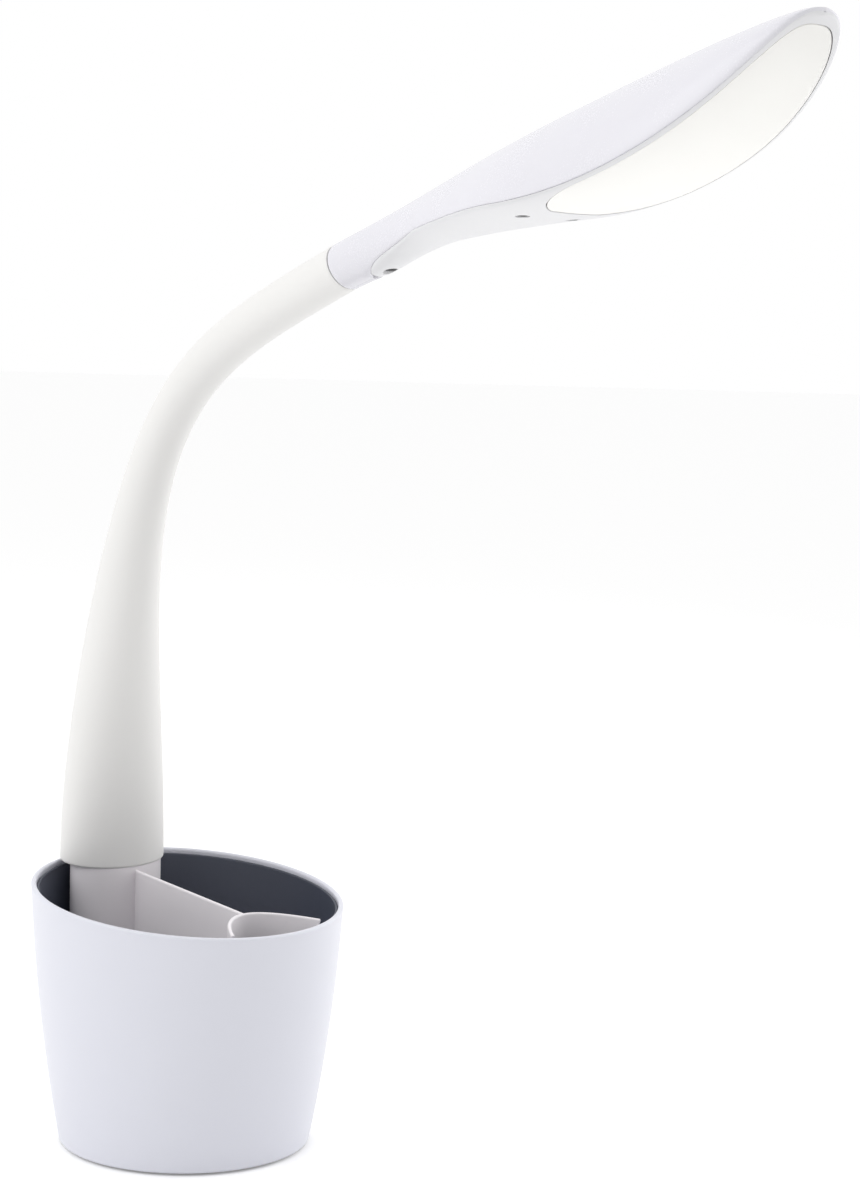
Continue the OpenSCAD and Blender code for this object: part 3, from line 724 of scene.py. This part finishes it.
def build_back_fittings():
    """The button's dished cap over its flange, and the pin of the power socket."""
    reach = (BUTTON_HIGH[1] - BUTTON_LOW[1]) / MM
    cap_r, flange_r = 3.6, 5
    dish = [(0, 0.35), (1.5, 0.28), (2.6, 0.04), (3.1, 0.0), (3.45, 0.14), (cap_r, 0.5)]
    flange = [(cap_r, 5.8), (flange_r, 5.9), (flange_r, 7.4), (cap_r, 7.4)]
    button = lathed("button_cap", dish + flange + [(cap_r, reach), (0, reach)], 48)
    button.data.transform(Matrix.Translation(BUTTON_AT) @ Matrix.Rotation(math.pi / 2, 4, "X"))
    soften(button)
    dress(button, button_grey)
    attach(button, "button")
    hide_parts("power_button")
    pin = lathed("socket_pin", [(0, 1.2), (0.6, 1.3), (0.98, 1.9), (0.98, 9.6), (0, 9.6)], 24)
    pin.data.transform(Matrix.Translation(SOCKET_AT) @ Matrix.Rotation(math.pi / 2, 4, "X"))
    soften(pin)
    dress(pin, pin_nickel)
    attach(pin, "base")


# ---- Neck ----
NECK_LINE = [
    NECK_FOOT,
    NECK_FOOT + Vector((0, 92)) * MM,
    Vector((NECK_FOOT_Y - 7 * MM, NECK_END.y - 52.5 * MM)),
    NECK_END + Vector((99.5, -99.5 * math.tan(NECK_END_SLOPE))) * MM,
    NECK_END,
]
NECK_SEAM = 1 + (SEAM_SHIFT - SEAM_GAP) / (4 * (NECK_LINE[-1] - NECK_LINE[-2]).length)


def share_nearest(line, y, z):
    """Where along a curve the point nearest to (y, z) lies."""
    spot = Vector((y, z))
    return min(steps(0, 1, 1000), key=lambda t: (bezier(line, t) - spot).length)


hinges = [joint for joint in frame["joints"] if joint["type"] == "hinge"]
PIVOT_AT = [share_nearest(NECK_LINE, *hinge["pos_m"][1:]) for hinge in hinges]


def neck_tree():
    """A hollow skin on the neck's Bezier line. Its rings run up the outside and back down the inside."""
    point_names = [f"Point {i + 1}" for i in range(len(NECK_LINE))]
    tree, size = geometry_tree("neck_skin", {
        "Start": "Float", "End": "Float", "Rings": "Int", "Sides": "Int",
        **{name: "Vector" for name in point_names},
        "Foot Radius": "Float", "End Radius": "Float", "Taper End": "Float", "Taper Power": "Float",
        "Side Swell": "Float", "Front Swell": "Float", "Oval End": "Float", "Foot Slant": "Float",
        "Slant End": "Float", "Skin": "Float", "Edge Round": "Float", "Edge Length": "Float",
        "Seam": "Float", "Finish": "Material"})
    grid = add(tree, "GeometryNodeMeshGrid", {
        "Size X": 1.0, "Size Y": 1.0, "Vertices X": size["Rings"], "Vertices Y": size["Sides"]})
    share = add(tree, "ShaderNodeSeparateXYZ", {0: grid.outputs["UV Map"]})
    lap = add(tree, "ShaderNodeMath", {0: share.outputs[0], 1: 2.0}, operation="MULTIPLY").outputs[0]
    along = add(tree, "ShaderNodeMath", {0: lap, 1: 1.0}, operation="PINGPONG").outputs[0]
    # 1 on the way back, which is the skin's inside
    inner = add(tree, "ShaderNodeMath", {0: lap, 1: 1.5, 2: 0.4999}, operation="COMPARE").outputs[0]
    t = add(tree, "ShaderNodeMapRange", {"Value": along, "To Min": size["Start"], "To Max": size["End"]},
            interpolation_type="SMOOTHSTEP").outputs[0]
    turn = add(tree, "ShaderNodeMath", {0: share.outputs[1], 1: 2 * math.pi},
               operation="MULTIPLY").outputs[0]

    points = [size[name] for name in point_names]
    while len(points) > 1:
        behind, ahead = points[0], points[-1]
        points = [add(tree, "ShaderNodeMix", {0: t, 4: a, 5: b}, data_type="VECTOR",
                      clamp_factor=False).outputs[1] for a, b in zip(points, points[1:])]
    heading = add(tree, "ShaderNodeVectorMath", {0: ahead, 1: behind}, operation="SUBTRACT").outputs[0]
    heading = add(tree, "ShaderNodeVectorMath", {0: heading}, operation="NORMALIZE").outputs[0]
    upward = add(tree, "ShaderNodeVectorMath", {0: heading, 1: (1, 0, 0)},
                 operation="CROSS_PRODUCT").outputs[0]

    taper = add(tree, "ShaderNodeMath", {0: t, 1: size["Taper End"]}, operation="DIVIDE",
                use_clamp=True).outputs[0]
    taper = add(tree, "ShaderNodeMath", {0: taper, 1: math.pi / 2}, operation="MULTIPLY").outputs[0]
    taper = add(tree, "ShaderNodeMath", {0: taper}, operation="COSINE", use_clamp=True).outputs[0]
    taper = add(tree, "ShaderNodeMath", {0: taper, 1: size["Taper Power"]}, operation="POWER").outputs[0]
    radius = add(tree, "ShaderNodeMapRange", {
        "Value": taper, "To Min": size["End Radius"], "To Max": size["Foot Radius"]}).outputs[0]
    to_seam = add(tree, "ShaderNodeMath", {0: size["Seam"], 1: t}, operation="SUBTRACT").outputs[0]
    inset = add(tree, "ShaderNodeMath", {0: inner, 1: size["Skin"]}, operation="MULTIPLY").outputs[0]
    for from_end in (t, to_seam):
        edge = add(tree, "ShaderNodeMapRange", {
            "Value": from_end, "From Max": size["Edge Length"], "To Min": size["Edge Round"],
            "To Max": 0.0}, interpolation_type="SMOOTHSTEP").outputs[0]
        inset = add(tree, "ShaderNodeMath", {0: inset, 1: edge}, operation="ADD").outputs[0]

    reach = []
    for swell, part in (("Side Swell", "COSINE"), ("Front Swell", "SINE")):
        oval = add(tree, "ShaderNodeMapRange", {
            "Value": t, "From Max": size["Oval End"], "To Min": size[swell], "To Max": 1.0},
            interpolation_type="SMOOTHSTEP").outputs[0]
        half = add(tree, "ShaderNodeMath", {0: radius, 1: oval}, operation="MULTIPLY").outputs[0]
        half = add(tree, "ShaderNodeMath", {0: half, 1: inset}, operation="SUBTRACT").outputs[0]
        wave = add(tree, "ShaderNodeMath", {0: turn}, operation=part).outputs[0]
        reach.append(add(tree, "ShaderNodeMath", {0: half, 1: wave}, operation="MULTIPLY").outputs[0])
    slant = add(tree, "ShaderNodeMapRange", {
        "Value": t, "From Max": size["Slant End"], "To Min": size["Foot Slant"], "To Max": 0.0},
        interpolation_type="SMOOTHSTEP").outputs[0]
    upward_y = add(tree, "ShaderNodeSeparateXYZ", {0: upward}).outputs[1]
    lift = add(tree, "ShaderNodeMath", {0: reach[1], 1: upward_y}, operation="MULTIPLY").outputs[0]
    lift = add(tree, "ShaderNodeMath", {0: lift, 1: slant}, operation="MULTIPLY").outputs[0]
    sideways = add(tree, "ShaderNodeCombineXYZ", {0: reach[0], 2: lift}).outputs[0]
    rise = add(tree, "ShaderNodeVectorMath", {0: upward, "Scale": reach[1]}, operation="SCALE").outputs[0]
    spot = add(tree, "ShaderNodeVectorMath", {0: points[0], 1: sideways}, operation="ADD").outputs[0]
    spot = add(tree, "ShaderNodeVectorMath", {0: spot, 1: rise}, operation="ADD").outputs[0]
    skin = add(tree, "GeometryNodeSetPosition", {"Geometry": grid.outputs["Mesh"], "Position": spot})
    closed = add(tree, "GeometryNodeMergeByDistance", {"Geometry": skin.outputs[0], "Distance": WELD / 2})
    end_tree(tree, closed.outputs[0], size["Finish"])
    return tree


def skin_span(link):
    """Where the skin over one bend starts and ends along the neck. The last one ends at the seam."""
    start = 0.0 if link == 0 else (PIVOT_AT[link - 1] + PIVOT_AT[link]) / 2
    end = NECK_SEAM if link == len(PIVOT_AT) - 1 else (PIVOT_AT[link] + PIVOT_AT[link + 1]) / 2
    return start, end


def build_neck():
    """Five skins, one over each hinge, which meet end to end along the neck."""
    tree = neck_tree()
    shape = {f"Point {i + 1}": (0, point.x, point.y) for i, point in enumerate(NECK_LINE)}
    shape |= {"Sides": 73, "Foot Radius": NECK_FOOT_R, "End Radius": NECK_END_R,
              "Taper End": 0.71, "Taper Power": 3.6, "Side Swell": 1.15, "Front Swell": 0.78,
              "Oval End": 0.37, "Foot Slant": RIM_FALL, "Slant End": 0.1, "Skin": NECK_SKIN,
              "Edge Round": SEAM_ROUND, "Edge Length": 0.0012, "Seam": NECK_SEAM, "Finish": neck_rubber}
    for link, pivot in enumerate(PIVOT_AT):
        start, end = skin_span(link)
        rings = 161 if link == 0 else 61
        skin = grown(f"neck_skin_{link + 1}", tree, {**shape, "Start": start, "End": end, "Rings": rings})
        bm = bmesh.new()
        bm.from_mesh(skin.data)
        tidy_mesh(bm)
        bm.to_mesh(skin.data)
        bm.free()
        soften(skin)
        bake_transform(skin)
        covered = [f"neck_sleeve_{link + 1}"] + (["neck_sleeve_0"] if link == 0 else [])
        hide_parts(*covered)


# ---- Head ----
STEM_RIM = [
    NECK_END,
    NECK_END + Vector((-28, 28 * math.tan(NECK_END_SLOPE))) * MM,
    Vector((-178, 423.4)) * MM,
    Vector((-208, 425.6)) * MM,
]
LEAF_RIM = [
    STEM_RIM[-1],
    Vector((-250, 428.7)) * MM,
    Vector((-307.7, 448.9)) * MM,
    TIP - Vector((0, 0.5)) * MM,
]
RIDGE = [
    NECK_END + Vector((math.sin(NECK_END_SLOPE), math.cos(NECK_END_SLOPE))) * NECK_END_R,
    Vector((-151.7, 435.9)) * MM,
    Vector((-312.1, 495.4)) * MM,
    TIP + Vector((0, 1)) * MM,
]
STEM_SHARE = 0.46
STEM_END_Y = -115 * MM
TONGUE_END_Y = -150 * MM
TONGUE_L = 36 * MM
TONGUE_FALL = 6.4 * MM
TONGUE_TIP_FALL = 3.4 * MM
BELLY = 4.4 * MM
BELLY_START_Y = -110 * MM
BELLY_RUN = 42 * MM
NOSE_START_Y = -290 * MM
NOSE_RUN = 50 * MM
NOSE_FLATTEN = 0.7
SEAM_SHARE = 0.003
# At a parting line: the turn left open, how far in the edge starts to round, and by how much
SLIT = 0.004
PART_ROUND = 0.5 * MM
EDGE_ROUNDING = [0.4 * MM, 0.15 * MM, 0.03 * MM]
WINDOW_POWER = 2.2


def rim_line(u):
    """Where the head's upper and lower sides meet, from the neck (0) to the tip (1)."""
    if u < STEM_SHARE:
        return bezier(STEM_RIM, u / STEM_SHARE)
    return bezier(LEAF_RIM, (u - STEM_SHARE) / (1 - STEM_SHARE))


def half_width(y, edge=0.0):
    """Half the width at y of the outline that lies edge inside the head's own."""
    if y > WIDEST_Y:
        widening = smooth((STEM_END_Y - y) / (STEM_END_Y - WIDEST_Y))
        return mix(NECK_END_R, HEAD_HALF_W, widening) - edge
    share = min((WIDEST_Y - y) / (WIDEST_Y - TIP.x - edge), 1)
    return (HEAD_HALF_W - edge) * (1 - share ** LEAF_POWER) ** (1 / LEAF_POWER)


def belly_depth(y):
    """How far the underside hangs below the rim line: less from the stem to the leaf and at the tip."""
    belly = mix(NECK_END_R, BELLY, smooth((BELLY_START_Y - y) / BELLY_RUN))
    return belly * (1 - NOSE_FLATTEN * smooth((NOSE_START_Y - y) / NOSE_RUN))


def head_point(u, turn, inset=0.0):
    """Point of the head's skin. turn counts from the right edge over the ridge (pi / 2) to the left
    edge (pi) and on across the underside."""
    base = rim_line(u)
    rise = bezier(RIDGE, u) - base
    height = rise.length - inset if math.sin(turn) > 0 else belly_depth(base.x) - inset
    up = rise.normalized() * max(height, 0.3 * MM) * math.sin(turn)
    width = max(half_width(base.x) - inset, 0.4 * MM)
    return Vector((width * math.cos(turn), base.x + up.x, base.y + up.y))


@functools.lru_cache(None)
def parting_z(y):
    """Height of the parting line at y: the rim line's, and falling away from it round the tongue."""
    low, high = 0.0, 1.0
    for _ in range(22):
        middle = (low + high) / 2
        low, high = (middle, high) if rim_line(middle).x > y else (low, middle)
    fall = max((y - TONGUE_END_Y) / TONGUE_L, 0)
    return rim_line(low).y - TONGUE_FALL * fall - TONGUE_TIP_FALL * fall ** 8


@functools.lru_cache(None)
def split_turn(u):
    """How far past the rim line the top shell reaches: all round the stem, and not at all on the leaf."""
    if rim_line(u).x < TONGUE_END_Y:
        return 0.0
    low, high = 0.0, math.pi / 2
    for _ in range(16):
        middle = (low + high) / 2
        point = head_point(u, math.pi + middle)
        low, high = (middle, high) if point.z > parting_z(point.y) else (low, middle)
    return low


def head_shares():
    """Shares along the head, closer together at the seam and towards the tip."""
    seam = (SEAM_SHIFT + SEAM_GAP) * STEM_SHARE / (3 * (STEM_RIM[1] - STEM_RIM[0]).length)
    edge = [seam + s * SEAM_SHARE for s in (0, 0.2, 0.5, 1)]
    return edge + [1 - (1 - s) ** 1.5 for s in steps(0.019, 1, 130)]


def shell_rows(shares, first_at, last_at, count, gap=0.0):
    """Rows round a shell's section, between two parting edges that are rounded by a few tenths."""
    rows = []
    for u in shares:
        first, last = first_at(u), last_at(u)
        speed = (head_point(u, first + 0.02) - head_point(u, first)).length / 0.02
        near = min(PART_ROUND / 2 / max(speed, MM), (last - first) / 20)
        turns = [first, first + near, first + 3 * near] + steps(first + 6 * near, last - 6 * near, count)
        turns += [last - 3 * near, last - near, last]
        rounding = EDGE_ROUNDING + [0] * (count + 1) + EDGE_ROUNDING[::-1]
        seam = SEAM_ROUND * (1 - smooth((u - shares[0]) / SEAM_SHARE)) if u < 0.1 else 0
        outside = [head_point(u, a, gap + seam + r) for a, r in zip(turns, rounding)]
        inside = [head_point(u, a, SHELL_WALL) for a in reversed(turns)]
        rows.append(outside + inside)
    return rows


def build_head_top():
    """The glossy upper shell, which is a whole tube at the stem."""
    rows = shell_rows(
        head_shares(), lambda u: SLIT - split_turn(u), lambda u: math.pi + split_turn(u) - SLIT, 56)
    top = piece("head_top", rows, ring_rows=True, capped=True)
    soften(top)
    dress(top, head_gloss)
    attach(top, "head")
    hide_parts("head_top_shell")


def window_half(y, edge):
    """Half the width at y of the light's window, which lies edge inside the head's outline."""
    share = max((y - WINDOW_START_Y + edge - 2 * TRIM_W + WINDOW_ROUND) / WINDOW_ROUND, 0)
    closing = (1 - min(share, 1) ** WINDOW_POWER) ** (1 / WINDOW_POWER)
    return max(half_width(y, edge) * closing, 0.1 * MM)


def window_block(edge):
    """Upright block through the head in the shape of the diffuser's opening."""
    first, last = WINDOW_START_Y + TRIM_W - edge, TIP.x + edge
    ys = [mix(first, last, (1 - math.cos(a)) / 2) for a in steps(0, math.pi, 60)]
    low, high = 380 * MM, 530 * MM
    outline = [(window_half(y, edge), y) for y in ys] + [(-window_half(y, edge), y) for y in reversed(ys)]
    rows = [[Vector((x, y, z)) for x, y in outline] for z in (low, high)]
    return piece("window_block", rows, ring_rows=True, capped=True)


def underside(name, gap):
    """The shell between the parting lines, as far up the stem as the tongue reaches."""
    shares = [u for u in head_shares() if split_turn(u) < 1.45]
    rows = shell_rows(
        shares, lambda u: math.pi + split_turn(u) + SLIT, lambda u: 2 * math.pi - split_turn(u) - SLIT,
        48, gap)
    return piece(name, rows, ring_rows=True, capped=True)


def build_underside():
    """The satin cover with its screw recesses, and the diffuser in the cover's opening."""
    cover = underside("head_cover", 0)
    carve(cover, window_block(TRIM_W))
    for spot, face in zip(HEAD_SCREWS, HEAD_SCREW_FACES):
        boss_ends = [spot + Vector((0, 0, height)) * MM for height in (2, 6.5)]
        carve(cover, round_bar("boss", *boss_ends, HEAD_BOSS_R), "UNION")
        floor = spot + Vector((0, 0, face + HEAD_SCREW_H))
        carve(cover, round_bar("recess", spot - Vector((0, 0, 6)) * MM, floor, HEAD_RECESS_R))
    soften(cover)
    dress(cover, cover_white)
    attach(cover, "head")
    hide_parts("head_lower_cover")
    lens = underside("light_window", LENS_INSET)
    carve(lens, window_block(TRIM_W + LENS_GAP), "INTERSECT")
    soften(lens)
    dress(lens, diffuser_opal)
    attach(lens, "head")
    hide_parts("diffuser")


build_cup()
build_liner()
build_divider()
build_post()
build_mat()
build_back_fittings()
build_screws()
build_neck()
build_head_top()
build_underside()
build_chips()

# ---- CAD nodes that show as they are ----
KEPT = {
    "base_plate": plate_white, "ballast": weight_steel, "dc_jack": socket_nylon,
    "control_board": board_green, "board_parts": parts_black, "neck_anchor": cast_zinc,
    "gooseneck": tube_steel, "lead": lead_pvc, "head_lead": lead_pvc,
    "head_coupler": turned_aluminium, "led_board": board_white,
}
for name, node in nodes.items():
    kind = name.rstrip("_0123456789")
    if kind in KEPT:
        dress(node, KEPT[kind])


# ---- Studio ----
SIGHT = math.radians(-41)


def seen_directly(tree):
    """1 for what the camera, gloss and glass see, and 0 for light that falls on the lamp."""
    path = add(tree, "ShaderNodeLightPath")
    seen = add(tree, "ShaderNodeMath", {
        0: path.outputs["Is Camera Ray"], 1: path.outputs["Is Glossy Ray"]}, operation="MAXIMUM")
    return add(tree, "ShaderNodeMath", {
        0: seen.outputs[0], 1: path.outputs["Is Transmission Ray"]}, operation="MAXIMUM").outputs[0]


def studio_surface(name, colour, lift):
    """Matt paper. lift is light that only the camera, gloss and glass see, so shadows stay on it."""
    material = bpy.data.materials.new(name)
    material.use_nodes = True
    tree = material.node_tree
    tree.nodes.clear()
    level = add(tree, "ShaderNodeMath", {0: seen_directly(tree), 1: lift}, operation="MULTIPLY")
    paper = add(tree, "ShaderNodeBsdfDiffuse", {"Color": srgb(colour)})
    glow = add(tree, "ShaderNodeEmission", {"Color": (1, 1, 1, 1), "Strength": level.outputs[0]})
    both = add(tree, "ShaderNodeAddShader", {0: paper.outputs[0], 1: glow.outputs[0]})
    add(tree, "ShaderNodeOutputMaterial", {"Surface": both.outputs[0]})
    return material


def build_floor():
    reach = 60.0
    floor = piece("floor", [[Vector((x, y, 0)) for x in (-reach, reach)] for y in (-reach, reach)])
    floor.data.materials.append(studio_surface("white_paper", "#fafafa", 0.2))


def build_world():
    """A white tent. Low down, its light falls off towards the side from which the photograph is taken."""
    world = bpy.data.worlds.new("studio")
    bpy.context.scene.world = world
    world.use_nodes = True
    tree = world.node_tree
    tree.nodes.clear()
    direction = add(tree, "ShaderNodeTexCoord").outputs["Generated"]
    dim_side = (math.sin(SIGHT), -math.cos(SIGHT), 0)
    facing = add(tree, "ShaderNodeVectorMath", {0: direction, 1: dim_side},
                 operation="DOT_PRODUCT").outputs["Value"]
    height = add(tree, "ShaderNodeSeparateXYZ", {0: direction}).outputs[2]
    walls = add(tree, "ShaderNodeMapRange", {
        "Value": height, "From Min": 0.3, "From Max": 0.9, "To Min": 1.0, "To Max": 0.0}).outputs[0]
    shaded = add(tree, "ShaderNodeMath", {0: facing, 1: walls}, operation="MULTIPLY").outputs[0]
    tent = add(tree, "ShaderNodeMapRange", {
        "Value": shaded, "From Min": 0.2, "From Max": 0.8, "To Min": 0.84, "To Max": 0.02},
        interpolation_type="SMOOTHSTEP").outputs[0]
    tent = add(tree, "ShaderNodeMath", {0: walls, 1: 0.1, 2: tent}, operation="MULTIPLY_ADD").outputs[0]
    level = add(tree, "ShaderNodeMix", {0: seen_directly(tree), 2: tent, 3: 1.0},
                data_type="FLOAT").outputs[0]
    sky = add(tree, "ShaderNodeBackground", {"Color": (1, 1, 1, 1), "Strength": level})
    add(tree, "ShaderNodeOutputWorld", {"Surface": sky.outputs[0]})


def softbox(name, spot, target, size, power):
    """An oblong area light at spot, aimed at target."""
    light = bpy.data.lights.new(name, "AREA")
    light.shape = "RECTANGLE"
    light.size, light.size_y = size
    light.energy = power
    lamp = bpy.data.objects.new(name, light)
    aim = (target - spot).to_track_quat("-Z", "Y").to_matrix().to_4x4()
    lamp.matrix_world = Matrix.Translation(spot) @ aim
    bpy.context.collection.objects.link(lamp)


def build_lights():
    middle = Vector((0, -0.08, 0.25))
    softbox("right_softbox", Vector((1.6, -0.5, 0.6)), middle, (1.6, 2.0), 11)
    softbox("left_softbox", Vector((-1.4, 0.1, 1.25)), middle, (1.6, 1.6), 10)


def build_camera():
    """The photograph's viewing angle: from the front left, a little above the cup."""
    distance, height = 1.2, 0.3755
    yaw, pitch, roll = math.radians(-5.142), math.radians(-5.783), math.radians(1.554)
    facing = SIGHT + yaw
    level_ahead = Vector((-math.sin(facing), math.cos(facing), 0))
    level_right = Vector((math.cos(facing), math.sin(facing), 0))
    ahead = level_ahead * math.cos(pitch) + Vector((0, 0, math.sin(pitch)))
    level_up = level_right.cross(ahead)
    right = level_right * math.cos(roll) + level_up * math.sin(roll)
    up = level_up * math.cos(roll) - level_right * math.sin(roll)
    view = bpy.data.cameras.new("photo_view")
    view.sensor_fit = "HORIZONTAL"
    view.sensor_width = 36
    view.lens = 110.3
    view.clip_end = 20
    camera = bpy.data.objects.new("photo_view", view)
    turn = Matrix((right, up, -ahead)).transposed().to_4x4()
    spot = Vector((math.sin(SIGHT) * distance, -math.cos(SIGHT) * distance, height))
    camera.matrix_world = Matrix.Translation(spot) @ turn
    bpy.context.collection.objects.link(camera)
    bpy.context.scene.camera = camera


build_floor()
build_world()
build_lights()
build_camera()
bpy.context.scene.view_settings.view_transform = "Standard"
